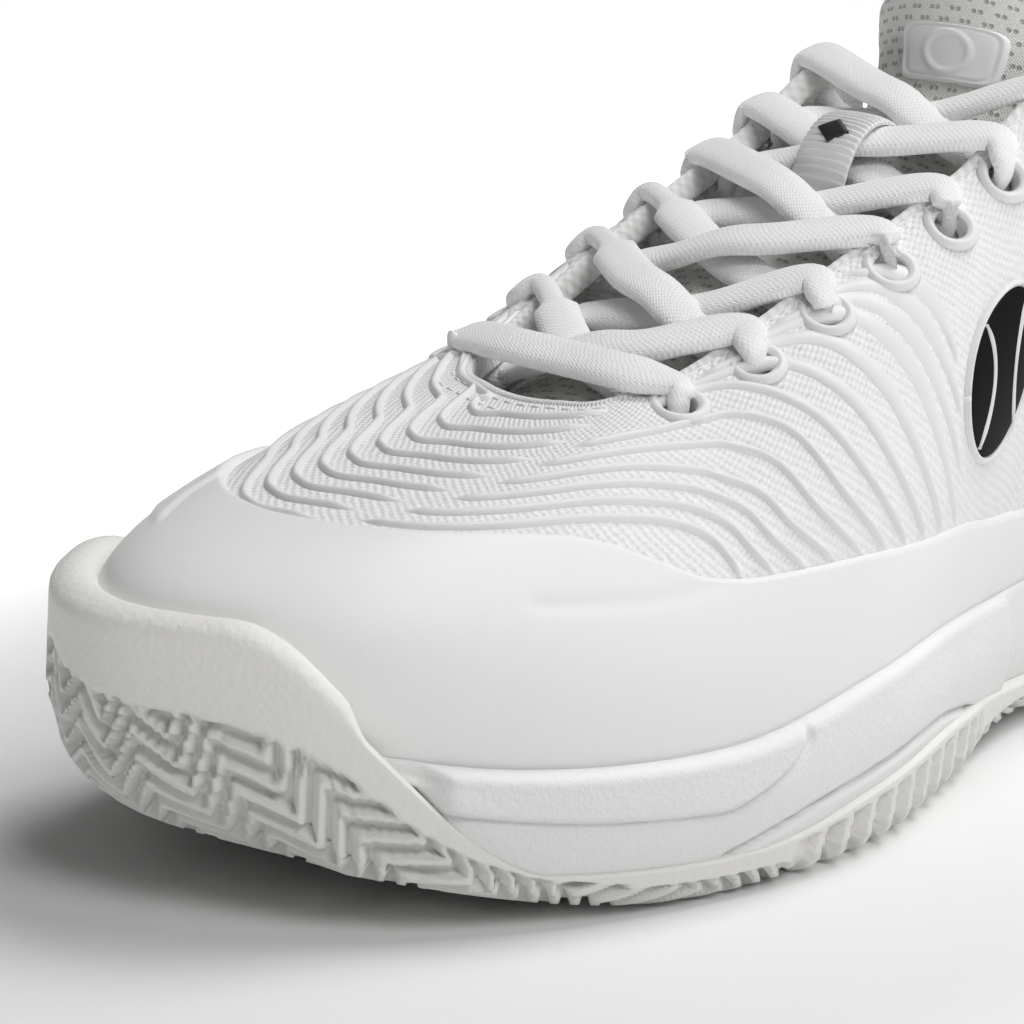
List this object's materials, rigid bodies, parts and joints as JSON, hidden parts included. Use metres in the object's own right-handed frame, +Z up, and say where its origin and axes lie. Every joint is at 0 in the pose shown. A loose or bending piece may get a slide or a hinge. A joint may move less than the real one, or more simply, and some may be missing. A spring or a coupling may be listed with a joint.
{
  "type": "court shoe",
  "caption": "Low court shoe for the left foot: wrapped herringbone sole with toe bumper and side outrigger, ridged knit upper, padded tongue and crossed lace.",
  "frame": {"origin": "centre of the bounding box, on the ground the sole rests on", "axes": "+X to the toe, +Y to the outer side of the foot, +Z up"},
  "size_m": [0.3, 0.1101, 0.137],
  "materials": {
    "cream_rubber": "fine grain, matt",
    "white_foam": "sanded skin",
    "dark_composite": "satin",
    "board_felt": "felted",
    "sockliner_cloth": "brushed cloth over foam",
    "moulded_board": "matt",
    "white_knit": "open knit with moulded ridges",
    "white_film": "smooth, matt",
    "white_lining": "mesh",
    "padding_foam": "open foam",
    "tongue_mesh": "padded mesh",
    "white_webbing": "ribbed webbing",
    "white_lace": "oval braid",
    "clear_tip": "gloss",
    "black_badge": "satin"
  },
  "bodies": {
    "shoe": {"outsole": "cream_rubber", "midsole": "white_foam", "midfoot_shank": "dark_composite", "strobel_board": "board_felt", "sockliner": "sockliner_cloth", "heel_counter": "moulded_board", "toe_puff": "moulded_board", "upper_knit": "white_knit", "rand": "white_film", "heel_overlay": "white_film", "heel_tab": "white_film", "eyestay_lateral": "moulded_board", "eyestay_medial": "moulded_board", "vamp_lining": "white_lining", "collar_foam": "padding_foam", "collar_lining": "white_lining", "tongue_body": "tongue_mesh", "tongue_lining": "white_lining", "lace_keeper": "white_webbing", "lace": "white_lace", "aglet_lateral": "clear_tip", "aglet_medial": "clear_tip", "side_badge": "black_badge"},
    "tongue_free_end": {"tongue_top": "tongue_mesh", "tongue_top_lining": "white_lining", "tongue_label": "white_film"}
  },
  "joints": [
    {"name": "tongue_flex", "type": "hinge", "parent": "shoe", "child": "tongue_free_end", "pos_m": [-0.04558, 0, 0.1154], "axis": [0, 1, 0], "range_deg": [0, 45], "stiffness_Nm_per_rad": 0.1}
  ]
}
